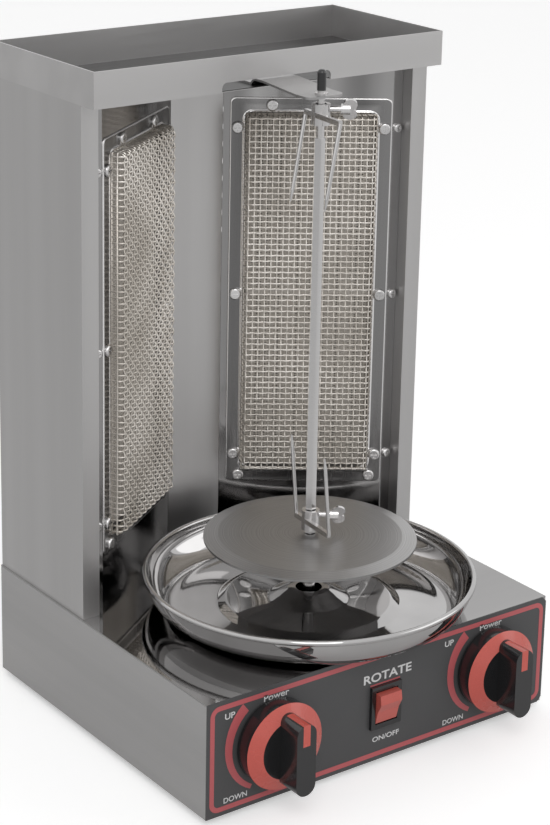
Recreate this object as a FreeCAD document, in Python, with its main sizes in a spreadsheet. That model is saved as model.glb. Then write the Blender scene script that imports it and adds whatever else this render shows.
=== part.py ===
"""Two-burner vertical broiler: a box base with gas and drive, two slanted burners, a spit and a warming tray.

The origin is at the middle of the bounding box, at the bottom of the feet. X runs right, Y runs back, Z up.
"""
import FreeCAD
import Part
import Sketcher
import math
import os
import re
from FreeCAD import Placement, Rotation, Vector

doc = FreeCAD.newDocument("vertical_broiler")

# ---------------------------------------------------------------- driving sizes, in millimetres
SIZES = {
    # whole body
    "width": 290, "depth": 260, "base_height": 81, "body_height": 357, "tray_height": 24.3,
    "foot_height": 5, "foot_radius": 11, "foot_inset": 32,
    "base_metal": 1.2, "panel_metal": 1.0, "overlay_thick": 0.8, "overlay_corner": 3.5,
    # upper body, setbacks counted from the front face of the base
    "side_inset": 1.1, "flange_setback": 149.6, "flange_width": 13, "lip_recess": 10,
    "opening_half": 122, "centre_half": 22.5, "centre_setback": 228, "tray_overhang": 15.5,
    "vent_x": 62, "vent_width": 72, "vent_height": 4, "vent_pitch": 13, "vent_drop": 46,
    "notch_half": 45, "notch_rise": 6.8, "notch_corner": 4,
    # burners
    "frame_width": 116, "frame_height": 292, "frame_low": 38.5, "frame_metal": 1.2, "frame_offset": 2.5,
    "window_width": 94, "window_height": 270, "window_corner": 9, "cage_reach": 9, "cage_metal": 1.5,
    "tile_width": 92, "tile_height": 132, "tile_thick": 13, "tile_gap": 4, "tile_setback": 4, "tile_clear": 0.6,
    "housing_depth": 34, "housing_margin": 4,
    "screw_edge": 5.5, "screw_corner": 22, "screw_top_half": 28, "screw_low_half": 48.7,
    "screw_head": 8.8, "screw_head_rise": 2.4, "screw_shank": 4,
    "mixing_radius": 8, "mixing_wall": 1, "injector_radius": 5,
    # arm that holds the top of the spit
    "arm_width": 30, "arm_metal": 1.5, "arm_lift": 3.4, "arm_rise": 2.6, "arm_nose": 7, "arm_pad": 15,
    "arm_slope_run": 36, "arm_step_run": 10, "arm_tail": 44,
    # spit and drive
    "spit_setback": 86, "spit_side": 5, "neck_step": 0.936, "neck_from": 331,
    "bush_wall": 0.4, "bush_lip": 1.8, "cap_wall": 0.4, "cap_low": 363, "cap_length": 14,
    "disc_radius": 73.6, "disc_rise": 52, "disc_thick": 1.5, "disc_rim": 10, "disc_drop": 2,
    "hub_radius": 8, "hub_length": 6, "coupling_wall": 0.864, "coupling_top": 44, "coupling_low": 2,
    "drive_shaft_radius": 3.5, "drive_shaft_top": 18, "spit_foot": 19, "cross_pin_radius": 1.5,
    "cross_pin_rise": 30, "bush_radius": 6, "bush_flange": 8, "bush_flange_thick": 1.5,
    "motor_radius": 30, "motor_length": 46, "bracket_thick": 2, "bracket_half": 42, "running_gap": 0.05,
    # forks and wing screws
    "collar_radius": 6.2, "collar_length": 14, "spit_clear": 0.16, "upper_collar_low": 340.2,
    "lower_collar_low": 55.5, "clamp_rise": 10.4,
    "fork_front": 30, "fork_back": 12, "prong_radius": 1.3, "front_prong": 57, "back_prong": 60,
    "upper_lean": 11, "lower_lean": 5.5, "strip_width": 3, "strip_height": 3.4,
    "wing_shank": 2, "wing_reach": 13, "wing_span": 16, "wing_tilt": 28, "wing_turn": -35,
    # drip pan
    "pan_radius": 115.8, "pan_rise": 26, "pan_metal": 0.8, "pan_foot": 91, "pan_bead": 2,
    "emboss_outer": 64, "emboss_inner": 58, "emboss_rise": 4.5, "dome_foot": 28, "dome_top": 14.5,
    "dome_rise": 12, "dome_hole": 9.2,
    # controls
    "knob_spacing": 186, "knob_rise": 42.9, "knob_radius": 29.8, "knob_gap": 1.2, "knob_skirt": 13,
    "knob_ring_inner": 20.5, "knob_ring_step": 5, "knob_reach": 36, "grip_width": 15.3, "grip_length": 50,
    "pointer_width": 5.5, "pointer_down": 15, "pointer_thick": 1.2, "stem_radius": 4, "stem_clear": 1,
    "switch_width": 25.5, "switch_height": 31, "switch_rise": 40, "switch_lip": 2.5, "switch_body_width": 22,
    "switch_body_height": 27.5, "switch_body_depth": 22, "rocker_width": 18, "rocker_height": 23,
    "tab_x": 5.5, "tab_pitch": 8, "tab_width": 6.4, "tab_length": 10, "tab_thick": 0.8,
    # gas line
    "valve_radius": 11, "valve_length": 46, "manifold_radius": 6, "manifold_setback": 42, "manifold_rise": 25,
    "inlet_pipe_x": 122, "feed_radius": 3, "inlet_radius": 6.58, "inlet_reach": 20,
    "inlet_nut_radius": 11, "inlet_nut_thick": 5,
    # power cord gland
    "block_x": 40, "block_inset": 60, "block_width": 34, "block_depth": 20,
    "gland_x": 95, "gland_rise": 33, "gland_radius": 8, "gland_reach": 16, "gland_bore": 3.5,
}

sheet = doc.addObject("Spreadsheet::Sheet", "sizes")
for row, (alias, amount) in enumerate(SIZES.items(), 1):
    sheet.set(f"A{row}", alias)
    sheet.set(f"B{row}", str(amount))
    sheet.setAlias(f"B{row}", alias)
doc.recompute()

# ---------------------------------------------------------------- places worked out from the sizes
PLACES = {
    "front": "knob_reach - (depth + knob_reach + inlet_reach) / 2",
    "back": "front + depth",
    "base_low": "foot_height",
    "deck_top": "foot_height + base_height",
    "deck_low": "deck_top - base_metal",
    "side_x": "width / 2 - side_inset",
    "flange_y": "front + flange_setback",
    "flange_x": "side_x - flange_width",
    "lip_y": "flange_y + lip_recess",
    "centre_y": "front + centre_setback",
    "back_in": "back - panel_metal",
    "tray_low": "deck_top + body_height",
    "tray_front": "flange_y - tray_overhang",
    "spit_y": "front + spit_setback",
    "plate_run": "opening_half - centre_half",
    "plate_set": "centre_y - lip_y",
    "frame_z": "deck_top + frame_low",
    "window_z": "frame_z + (frame_height - window_height) / 2",
    "screw_hole": "screw_shank / 2 + running_gap",
    "knob_x": "knob_spacing / 2",
    "knob_z": "foot_height + knob_rise",
    "switch_z": "foot_height + switch_rise",
    "gland_z": "foot_height + gland_rise",
    "panel_back": "front + overlay_thick + base_metal",
    "manifold_y": "front + manifold_setback",
    "manifold_z": "foot_height + manifold_rise",
    "pad_top": "tray_low + arm_lift",
    "disc_top": "deck_top + disc_rise",
    "neck_z": "deck_top + neck_from",
    "cap_z": "deck_top + cap_low",
    "spit_corner": "spit_side * 0.7072",
    "collar_bore": "spit_corner + spit_clear",
    "neck_radius": "spit_corner - neck_step",
    "cap_radius": "neck_radius + cap_wall",
    "coupling_radius": "spit_corner + coupling_wall",
    "upper_collar_z": "deck_top + upper_collar_low",
    "lower_collar_z": "deck_top + lower_collar_low",
    "plate_length": "sqrt(plate_run ^ 2 + plate_set ^ 2)",
    "mixing_set": "tile_setback + tile_thick + mixing_radius + 0.4",
    "burner_x": "(opening_half + centre_half) / 2 + mixing_set * plate_set / plate_length",
    "burner_y": "(lip_y + centre_y) / 2 + mixing_set * plate_run / plate_length",
}
places = doc.addObject("App::VarSet", "places")
WORDS = re.compile(r"[A-Za-z_]+")


def formula(text):
    """Points each word of a formula at its cell or its worked-out place."""
    def owner(match):
        word = match.group(0)
        if word in PLACES:
            return "places." + word
        return "sizes." + word if word in SIZES else word
    return WORDS.sub(owner, text)


for name, text in PLACES.items():
    places.addProperty("App::PropertyFloat", name, "Places")
for name, text in PLACES.items():
    places.setExpression(name, formula(text))
doc.recompute()


class Dimensions:
    """Reads a size from the sheet or a worked-out place, by its name."""

    def __getattr__(self, name):
        return float(getattr(places if name in PLACES else sheet, name))


dim = Dimensions()
plate_angle = math.degrees(math.atan2(dim.plate_set, dim.plate_run))
nodes = []
VENT_ROWS = 8
SIDES = (("left", -1), ("right", 1))


# ---------------------------------------------------------------- helpers
def keep(item, label):
    """Registers a finished sub-part under its own name."""
    item.Label = label
    nodes.append(item)
    return item


def bind(item, **properties):
    for name, text in properties.items():
        item.setExpression(name, formula(str(text)))
    return item


def at(item, x="0", y="0", z="0"):
    for axis, text in (("x", x), ("y", y), ("z", z)):
        item.setExpression(f".Placement.Base.{axis}", formula(str(text)))
    return item


def box(x, y, z, length, width, height, name="box"):
    item = doc.addObject("Part::Box", name)
    bind(item, Length=length, Width=width, Height=height)
    return at(item, x, y, z)


def cylinder(x, y, z, radius, height, axis="z", name="cylinder"):
    """A cylinder from its base point along +x, +y or +z."""
    item = doc.addObject("Part::Cylinder", name)
    bind(item, Radius=radius, Height=height)
    turns = {"z": Rotation(), "x": Rotation(Vector(0, 1, 0), 90), "y": Rotation(Vector(1, 0, 0), -90)}
    item.Placement = Placement(Vector(), turns[axis])
    return at(item, x, y, z)


def fuse(*items):
    item = doc.addObject("Part::MultiFuse", "fuse")
    item.Shapes = list(items)
    return item


def cut(base, *tools):
    item = doc.addObject("Part::Cut", "cut")
    item.Base = base
    item.Tool = tools[0] if len(tools) == 1 else fuse(*tools)
    return item


def group(*items):
    item = doc.addObject("Part::Compound", "group")
    item.Links = list(items)
    return item


def shaped(shape, label, place=None):
    """A sub-part made with Part's own functions, set down at its place."""
    item = doc.addObject("Part::Feature", label)
    item.Shape = shape
    if place:
        item.Placement = place.multiply(item.Placement)
    return keep(item, label)


def body_from(points, label, feature, plane="XZ_Plane", **properties):
    """A body whose sketch is a closed outline of (x, y) formulas, padded or revolved."""
    body = doc.addObject("PartDesign::Body", label + "_body")
    sketch = body.newObject("Sketcher::SketchObject", label + "_outline")
    flat = [entry for entry in body.Origin.OriginFeatures if entry.Role == plane][0]
    sketch.AttachmentSupport = [(flat, "")]
    sketch.MapMode = "FlatFace"
    spots = [tuple(worked_out(text) for text in point) for point in points]
    count = len(spots)
    for index, spot in enumerate(spots):
        after = spots[(index + 1) % count]
        sketch.addGeometry(Part.LineSegment(Vector(*spot, 0), Vector(*after, 0)), False)
    for index, point in enumerate(points):
        sketch.addConstraint(Sketcher.Constraint("Coincident", index, 2, (index + 1) % count, 1))
        for kind, text, amount in zip(("DistanceX", "DistanceY"), point, spots[index]):
            number = sketch.addConstraint(Sketcher.Constraint(kind, -1, 1, index, 1, amount))
            sketch.setExpression(f"Constraints[{number}]", formula(text))
    made = body.newObject("PartDesign::" + feature, label + "_" + feature.lower())
    made.Profile = sketch
    for name, amount in properties.items():
        if isinstance(amount, str) and name != "Type":
            made.setExpression(name, formula(amount))
        else:
            setattr(made, name, amount)
    if feature == "Revolution":
        made.ReferenceAxis = (sketch, ["V_Axis"])
    return body


def worked_out(text):
    """The number that a formula gives now, read from a scratch property."""
    if "scratch" not in places.PropertiesList:
        places.addProperty("App::PropertyFloat", "scratch", "Places")
    places.setExpression("scratch", formula(text))
    places.recompute()
    return float(places.scratch)


def folded_outline(points, thickness):
    """Closed outline of a bent sheet: the points, then the same run moved left by the thickness."""
    run = [Vector(x, y, 0) for x, y in points]
    normals = []
    for first, second in zip(run, run[1:]):
        step = (second - first).normalize()
        normals.append(Vector(-step.y, step.x, 0))
    moved = []
    for index, point in enumerate(run):
        before = normals[max(index - 1, 0)]
        after = normals[min(index, len(normals) - 1)]
        mitre = before + after
        moved.append(point + mitre * (2 * thickness / mitre.dot(mitre)))
    return run + moved[::-1]


def folded_sheet(points, thickness, low, height):
    outline = folded_outline(points, thickness)
    face = Part.Face(Part.makePolygon(outline + outline[:1]))
    shape = face.extrude(Vector(0, 0, height))
    shape.translate(Vector(0, 0, low))
    return shape


def rounded_plate(width, height, thickness, corner, centre=(0, 0)):
    """A plate in the XZ plane with round corners, from y = 0 back by its thickness."""
    plate = Part.makeBox(width, thickness, height, Vector(centre[0] - width / 2, 0, centre[1] - height / 2))
    upright = [edge for edge in plate.Edges if abs(edge.tangentAt(edge.FirstParameter).y) > 0.99]
    return plate.makeFillet(min(corner, width / 2.01, height / 2.01), upright)


def rod(radius, length, spot, direction):
    return Part.makeCylinder(radius, length, Vector(*spot), Vector(*direction))


def pipe(points, bend, radius):
    """A round rod along straight runs joined by tangent arcs."""
    spots = [Vector(*point) for point in points]
    edges = []
    start = spots[0]
    for before, corner, after in zip(spots, spots[1:], spots[2:]):
        inward = (before - corner).normalize()
        onward = (after - corner).normalize()
        half = inward.getAngle(onward) / 2
        reach = bend / math.tan(half)
        first = corner + inward * reach
        last = corner + onward * reach
        middle_way = (inward + onward).normalize()
        middle = corner + middle_way * (bend / math.sin(half) - bend)
        edges.append(Part.LineSegment(start, first).toShape())
        edges.append(Part.Arc(first, middle, last).toShape())
        start = last
    edges.append(Part.LineSegment(start, spots[-1]).toShape())
    path = Part.Wire(edges)
    direction = (spots[1] - spots[0]).normalize()
    section = Part.Wire([Part.Circle(spots[0], direction, radius).toShape()])
    return path.makePipeShell([section], True, True)


def pan_screw(spot, direction, head=None, shank_length=6.0):
    """A pan-head screw: its head stands on the spot and its shank runs the other way."""
    radius = (head or dim.screw_head) / 2
    rise = dim.screw_head_rise
    dome = Part.makeCylinder(radius, rise, Vector(), Vector(0, 0, 1))
    rims = [edge for edge in dome.Edges if edge.BoundBox.ZMin > rise - 0.01 and len(edge.Vertexes) == 1]
    dome = dome.makeFillet(rise * 0.6, rims)
    slot_depth = rise * 0.45
    for turn in (0, 90):
        slot = Part.makeBox(radius * 1.1, radius * 0.2, slot_depth, Vector(-radius * 0.55, -radius * 0.1, 0))
        slot.translate(Vector(0, 0, rise - slot_depth))
        slot.rotate(Vector(), Vector(0, 0, 1), turn)
        dome = dome.cut(slot)
    screw = dome.fuse(Part.makeCylinder(dim.screw_shank / 2, shank_length, Vector(), Vector(0, 0, -1)))
    screw.Placement = Placement(Vector(*spot), Rotation(Vector(0, 0, 1), Vector(*direction)))
    return screw


# ---------------------------------------------------------------- base
def make_feet():
    feet = []
    for x in ("width / 2 - foot_inset", "foot_inset - width / 2"):
        for y in ("front + foot_inset", "back - foot_inset"):
            pad = cylinder(x, y, "0", "foot_radius", "foot_height")
            bore = cylinder(x, y, "0", "screw_hole", "foot_height")
            pocket = cylinder(x, y, "0", "screw_head / 2 + 0.4", "foot_height / 2")
            feet.append(cut(pad, fuse(bore, pocket)))
    keep(group(*feet), "feet")


def make_base():
    cover = box("base_metal - width / 2", "panel_back", "base_low", "width - 2 * base_metal",
                "depth - overlay_thick - 2 * base_metal", "base_metal")
    holes = [cylinder(x, y, "base_low - 1", "screw_hole", "base_metal + 2")
             for x in ("width / 2 - foot_inset", "foot_inset - width / 2")
             for y in ("front + foot_inset", "back - foot_inset")]
    keep(cut(cover, *holes), "bottom_cover")

    half = dim.width / 2
    y_front = dim.front + dim.overlay_thick
    wrap = folded_sheet([(-half, y_front), (-half, dim.back), (half, dim.back), (half, y_front)],
                        -dim.base_metal, dim.base_low, dim.deck_low - dim.base_low)
    holes = [rod(dim.inlet_radius, 8, (-dim.inlet_pipe_x, dim.back - 4, dim.manifold_z), (0, 1, 0)),
             rod(dim.gland_radius * 0.75, 8, (dim.gland_x, dim.back - 4, dim.gland_z), (0, 1, 0))]
    for hole in holes:
        wrap = wrap.cut(hole)
    shaped(wrap, "base_wrap")

    plate = box("base_metal - width / 2", "front + overlay_thick", "base_low", "width - 2 * base_metal",
                "base_metal", "deck_low - base_low")
    keep(cut(plate, *panel_openings()), "front_plate")

    deck = box("-width / 2", "front + overlay_thick", "deck_low",
               "width", "depth - overlay_thick", "base_metal")
    tubes = [cylinder(f"{sign} * burner_x", "burner_y", "deck_low - 1", "mixing_radius + 0.2", "base_metal + 2")
             for sign in (-1, 1)]
    shaft = cylinder("0", "spit_y", "deck_low - 1", "bush_radius", "base_metal + 2")
    screws = [cylinder(f"{sign} * (bracket_half - 6)", "spit_y", "deck_low - 1", "screw_hole", "base_metal + 2")
              for sign in (-1, 1)]
    keep(cut(deck, *tubes, shaft, *screws), "deck_plate")


def panel_openings():
    """Holes through the front for the two valve stems and the switch."""
    through = "overlay_thick + base_metal + 2"
    stems = [cylinder(f"{sign} * knob_x", "front - 1", "knob_z", "stem_radius + stem_clear", through, "y")
             for sign in (-1, 1)]
    switch = box("-switch_body_width / 2", "front - 1", "switch_z - switch_body_height / 2",
                 "switch_body_width", through, "switch_body_height")
    return stems + [switch]


def make_overlay():
    overlay = body_from(
        [("-width / 2", "base_low"), ("width / 2 - overlay_corner", "base_low"),
         ("width / 2", "base_low + overlay_corner"), ("width / 2", "deck_top - overlay_corner"),
         ("width / 2 - overlay_corner", "deck_top"), ("-width / 2", "deck_top")],
        "control_overlay", "Pad", Length="overlay_thick")
    at(overlay, y="front + overlay_thick")
    keep(cut(overlay, *panel_openings()), "control_overlay")


# ---------------------------------------------------------------- upper body
def make_side_panels():
    t = dim.panel_metal
    inner_lip = [(dim.side_x, dim.back_in), (dim.side_x, dim.flange_y), (dim.flange_x, dim.flange_y),
                 (dim.flange_x, dim.lip_y + t), (dim.opening_half + 1, dim.lip_y + t)]
    for label, sign in SIDES:
        points = [(sign * x, y) for x, y in inner_lip]
        panel = folded_sheet(points, -sign * t, dim.deck_top, dim.body_height)
        for height in lip_screw_heights():
            spot = (sign * (dim.opening_half + dim.flange_x) / 2, dim.lip_y - 5, height)
            panel = panel.cut(rod(dim.screw_hole, 12, spot, (0, 1, 0)))
        shaped(panel, label + "_side_panel")


def lip_screw_heights():
    """Three screws up each lip, near both ends of the burner frame and at its middle."""
    middle = dim.frame_z + dim.frame_height / 2
    reach = dim.frame_height / 2 - dim.screw_corner
    return (middle - reach, middle, middle + reach)


def make_back():
    back = box("-side_x", "back_in", "deck_top", "2 * side_x", "panel_metal", "body_height")
    slots = []
    for column in (-1, 1):
        for level in range(VENT_ROWS):
            slots.append(box(f"{column} * vent_x - vent_width / 2", "back_in - 1",
                             f"tray_low - vent_drop - {level} * vent_pitch",
                             "vent_width", "panel_metal + 2", "vent_height"))
    keep(cut(back, *slots), "back_panel")

    t = dim.panel_metal
    x = dim.centre_half - 0.2
    centre = folded_sheet([(-x, dim.back_in), (-x, dim.centre_y), (x, dim.centre_y), (x, dim.back_in)],
                          t, dim.deck_top, dim.body_height - t)
    shaped(centre, "centre_panel")


def plate_place(sign):
    """Middle of a burner plate: x along the plate, y behind it."""
    middle = Vector(sign * (dim.opening_half + dim.centre_half) / 2, (dim.lip_y + dim.centre_y) / 2, 0)
    return Placement(middle, Rotation(Vector(0, 0, 1), -sign * plate_angle))


def make_burner_plates():
    t = dim.panel_metal
    for label, sign in SIDES:
        points = [(sign * (dim.flange_x - 0.1), dim.lip_y), (sign * dim.opening_half, dim.lip_y),
                  (sign * dim.centre_half, dim.centre_y)]
        plate = folded_sheet(points, -sign * t, dim.deck_top, dim.body_height)
        window = Part.makeBox(dim.window_width + 4, 8, dim.window_height + 4,
                              Vector(-dim.window_width / 2 - 2 + sign * dim.frame_offset, -4, dim.window_z - 2))
        window.Placement = plate_place(sign).multiply(window.Placement)
        plate = plate.cut(window)
        for spot in burner_screw_spots(sign):
            hole = rod(dim.screw_hole, 12, (spot[0], -6, spot[1]), (0, 1, 0))
            hole.Placement = plate_place(sign).multiply(hole.Placement)
            plate = plate.cut(hole)
        for height in lip_screw_heights():
            spot = (sign * (dim.opening_half + dim.flange_x) / 2, dim.lip_y - 5, height)
            plate = plate.cut(rod(dim.screw_hole, 12, spot, (0, 1, 0)))
        shaped(plate, label + "_burner_plate")


def make_top():
    corners = [Vector(x, y, 0) for x, y in top_cover_outline()]
    plate = Part.Face(Part.makePolygon(corners)).extrude(Vector(0, 0, dim.panel_metal))
    plate.translate(Vector(0, 0, dim.tray_low - dim.panel_metal))
    shaped(plate, "top_cover")


def top_cover_outline():
    """The cover fills the space behind the burner plates, a panel's thickness inside them."""
    t = dim.panel_metal
    clear = t + 0.2
    angle = math.radians(plate_angle)
    shift = clear * (1 - math.cos(angle)) / math.sin(angle)
    lip_back = dim.lip_y + 2 * t + 0.2
    right = [(dim.side_x - t - 0.1, dim.back_in), (dim.side_x - t - 0.1, lip_back),
             (dim.opening_half + shift + 1, lip_back),
             (dim.centre_half + clear * math.tan(angle / 2), dim.centre_y + clear)]
    left = [(-x, y) for x, y in reversed(right)]
    return right + left + right[:1]


def make_tray():
    t = dim.panel_metal
    outer = Part.makeBox(2 * dim.side_x, dim.back - dim.tray_front, dim.tray_height,
                         Vector(-dim.side_x, dim.tray_front, dim.tray_low))
    inner = Part.makeBox(2 * (dim.side_x - t), dim.back - dim.tray_front - 2 * t, dim.tray_height,
                         Vector(t - dim.side_x, dim.tray_front + t, dim.tray_low + t))
    notch = rounded_plate(2 * dim.notch_half, 2 * dim.notch_rise, 3 * t, dim.notch_corner,
                          (0, dim.tray_low))
    notch.translate(Vector(0, dim.tray_front - t, 0))
    tray = outer.cut(inner).cut(notch)
    for x, y in arm_screw_spots():
        tray = tray.cut(rod(dim.screw_hole, 6, (x, y, dim.tray_low - 2), (0, 0, 1)))
    shaped(tray, "top_tray")


def arm_screw_spots():
    y = arm_run()[-1][0] - dim.arm_tail / 2
    return [(-8, y), (8, y)]


def arm_run():
    """Underside of the arm in the YZ plane, from its nose to its tail on the tray floor."""
    floor = dim.tray_low + dim.panel_metal
    nose = dim.spit_y - dim.arm_nose
    bend = nose + dim.arm_pad
    crest = bend + dim.arm_slope_run
    pad_low = dim.pad_top - dim.arm_metal
    crest_low = pad_low + dim.arm_rise
    step = crest + dim.arm_step_run
    landing = step + crest_low - floor
    return [(nose, pad_low), (bend, pad_low), (crest, crest_low), (step, crest_low),
            (landing, floor), (landing + dim.arm_tail, floor)]


def make_arm():
    strip = folded_sheet(arm_run(), dim.arm_metal, -dim.arm_width / 2, dim.arm_width)
    strip.rotate(Vector(), Vector(1, 1, 1), 120)
    nose = Vector(-dim.arm_width / 2, dim.spit_y - dim.arm_nose, dim.tray_low - 30)
    corners = Part.makeBox(dim.arm_width, 200, 60, nose)
    front = [edge for edge in corners.Edges if abs(edge.tangentAt(edge.FirstParameter).z) > 0.99
             and edge.BoundBox.YMax < dim.spit_y]
    strip = strip.common(corners.makeFillet(6, front))
    strip = strip.cut(rod(dim.neck_radius + dim.bush_wall + 0.1, 60, (0, dim.spit_y, dim.tray_low - 30), (0, 0, 1)))
    for x, y in arm_screw_spots():
        strip = strip.cut(rod(dim.screw_hole, 8, (x, y, dim.tray_low), (0, 0, 1)))
    shaped(strip, "spit_arm")
    bush = rod(dim.neck_radius + dim.bush_wall, dim.arm_metal + 0.5,
               (0, dim.spit_y, dim.pad_top - dim.arm_metal - 0.2), (0, 0, 1))
    bush = bush.fuse(rod(dim.neck_radius + dim.bush_lip, 1, (0, dim.spit_y, dim.pad_top), (0, 0, 1)))
    bush = bush.cut(rod(dim.neck_radius + dim.running_gap, 10, (0, dim.spit_y, dim.pad_top - 5), (0, 0, 1)))
    shaped(bush, "arm_bush")


# ---------------------------------------------------------------- burners
def burner_screw_spots(sign):
    """Ten screws round a frame: three up each side, two across the top and two low down."""
    offset = sign * dim.frame_offset
    middle = dim.frame_z + dim.frame_height / 2
    side = dim.frame_width / 2 - dim.screw_edge
    reach = dim.frame_height / 2 - dim.screw_corner
    spots = [(offset + edge * side, middle + level * reach) for edge in (-1, 1) for level in (-1, 0, 1)]
    top = dim.frame_z + dim.frame_height - dim.screw_edge
    low = dim.frame_z + dim.screw_edge
    spots += [(offset + edge * dim.screw_top_half, top) for edge in (-1, 1)]
    spots += [(offset + edge * dim.screw_low_half, low) for edge in (-1, 1)]
    return spots


def placed(shape, sign, label):
    shaped(shape, label, plate_place(sign))


def make_burners():
    middle = dim.frame_z + dim.frame_height / 2
    screws = []
    for label, sign in SIDES:
        offset = sign * dim.frame_offset
        frame = rounded_plate(dim.frame_width, dim.frame_height, dim.frame_metal, 3, (offset, middle))
        opening = rounded_plate(dim.window_width, dim.window_height, 4, dim.window_corner, (offset, middle))
        opening.translate(Vector(0, -1, 0))
        frame = frame.cut(opening)
        for x, z in burner_screw_spots(sign):
            frame = frame.cut(rod(dim.screw_hole, 4, (x, -1, z), (0, 1, 0)))
        frame.translate(Vector(0, -dim.frame_metal, 0))
        placed(frame, sign, label + "_burner_frame")

        gap = 0.3
        reach = dim.cage_reach + dim.frame_metal
        outer = rounded_plate(dim.window_width - 2 * gap, dim.window_height - 2 * gap, reach + 1,
                              dim.window_corner - gap, (offset, middle))
        wall = dim.cage_metal
        inset = 2 * (gap + wall)
        inner = rounded_plate(dim.window_width - inset, dim.window_height - inset, reach + 1,
                              dim.window_corner - gap - wall, (offset, middle))
        inner.translate(Vector(0, wall, 0))
        cage = outer.cut(inner)
        cage.translate(Vector(0, -reach, 0))
        placed(cage, sign, label + "_mesh_cage")

        tiles = []
        for level in (-1, 1):
            low = middle + level * (dim.tile_height + dim.tile_gap) / 2 - dim.tile_height / 2
            tiles.append(Part.makeBox(dim.tile_width, dim.tile_thick, dim.tile_height,
                                      Vector(offset - dim.tile_width / 2, dim.tile_setback, low)))
        placed(Part.makeCompound(tiles), sign, label + "_ceramic_tiles")
        placed(housing_shape(offset, middle), sign, label + "_burner_housing")
        placed(mixing_tube_shape(sign), sign, label + "_mixing_tube")

        place = plate_place(sign)
        for x, z in burner_screw_spots(sign):
            screw = pan_screw((x, -dim.frame_metal, z), (0, -1, 0), shank_length=7)
            screw.Placement = place.multiply(screw.Placement)
            screws.append(screw)
    shaped(Part.makeCompound(screws + lip_screws()), "burner_screws")


def housing_shape(offset, middle):
    """Deep pan behind the tiles, with a ledge under the tiles and a flange against the plate."""
    wall = dim.panel_metal
    width = dim.tile_width + dim.tile_clear
    height = 2 * dim.tile_height + dim.tile_gap + dim.tile_clear
    low = middle - height / 2
    front = dim.panel_metal
    depth = dim.housing_depth
    outer = Part.makeBox(width + 2 * wall, depth, height + 2 * wall,
                         Vector(offset - width / 2 - wall, front, low - wall))
    inner = Part.makeBox(width, depth - wall, height, Vector(offset - width / 2, front, low))
    shell = outer.cut(inner)
    ledge_y = dim.tile_setback + dim.tile_thick
    ledge = Part.makeBox(width, 4, height, Vector(offset - width / 2, ledge_y, low))
    margin = dim.housing_margin
    ledge = ledge.cut(Part.makeBox(width - 2 * margin, 6, height - 2 * margin,
                                   Vector(offset - width / 2 + margin, ledge_y - 1, low + margin)))
    rib = Part.makeBox(width, 4, dim.tile_gap, Vector(offset - width / 2, ledge_y, middle - dim.tile_gap / 2))
    shell = shell.fuse([ledge, rib]).removeSplitter()
    hole = rod(dim.mixing_radius + dim.running_gap, 6, (0, dim.mixing_set, low - wall - 2), (0, 0, 1))
    return shell.cut(hole)


def mixing_tube_shape(sign):
    """Vertical tube from below the deck into the foot of the housing."""
    low = dim.deck_low - 16
    middle = dim.frame_z + dim.frame_height / 2
    top = middle - dim.tile_height - dim.tile_gap / 2 - dim.tile_clear / 2
    spot = (0, dim.mixing_set, low)
    tube = rod(dim.mixing_radius, top - low, spot, (0, 0, 1))
    inside = dim.mixing_radius - dim.mixing_wall
    tube = tube.cut(rod(inside, top - low - 3, (0, dim.mixing_set, low + 3), (0, 0, 1)))
    tube = tube.cut(rod(dim.injector_radius - 1.4, 8, (0, dim.mixing_set, low - 2), (0, 0, 1)))
    for turn in range(4):
        port = rod(3.2, dim.mixing_radius + 2, (0, dim.mixing_set, low + 9), (1, 0, 0))
        port.rotate(Vector(0, dim.mixing_set, 0), Vector(0, 0, 1), turn * 90 + 45)
        tube = tube.cut(port)
    return tube


def lip_screws():
    """The screws that hold each burner plate's lip to its side panel."""
    x = (dim.opening_half + dim.flange_x) / 2
    return [pan_screw((sign * x, dim.lip_y, z), (0, -1, 0), dim.screw_head * 0.8, 5)
            for sign in (-1, 1) for z in lip_screw_heights()]


def make_chassis_screws():
    """Screws of the feet, the motor bracket and the arm."""
    screws = []
    pocket = dim.foot_height / 2
    for x in (dim.width / 2 - dim.foot_inset, dim.foot_inset - dim.width / 2):
        for y in (dim.front + dim.foot_inset, dim.back - dim.foot_inset):
            screws.append(pan_screw((x, y, pocket), (0, 0, -1), shank_length=pocket + 4))
    for sign in (-1, 1):
        foot_z = dim.deck_low - dim.bracket_thick
        screws.append(pan_screw((sign * (dim.bracket_half - 6), dim.spit_y, foot_z), (0, 0, -1),
                                shank_length=dim.deck_top - foot_z - 0.3))
    for x, y in arm_screw_spots():
        spot = (x, y, dim.tray_low + dim.panel_metal + dim.arm_metal)
        screws.append(pan_screw(spot, (0, 0, 1), dim.screw_head * 0.8, 4))
    shaped(Part.makeCompound(screws), "chassis_screws")


# ---------------------------------------------------------------- gas line
def injector_spot(sign):
    return plate_place(sign).multVec(Vector(0, dim.mixing_set, dim.deck_low - 16))


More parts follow.
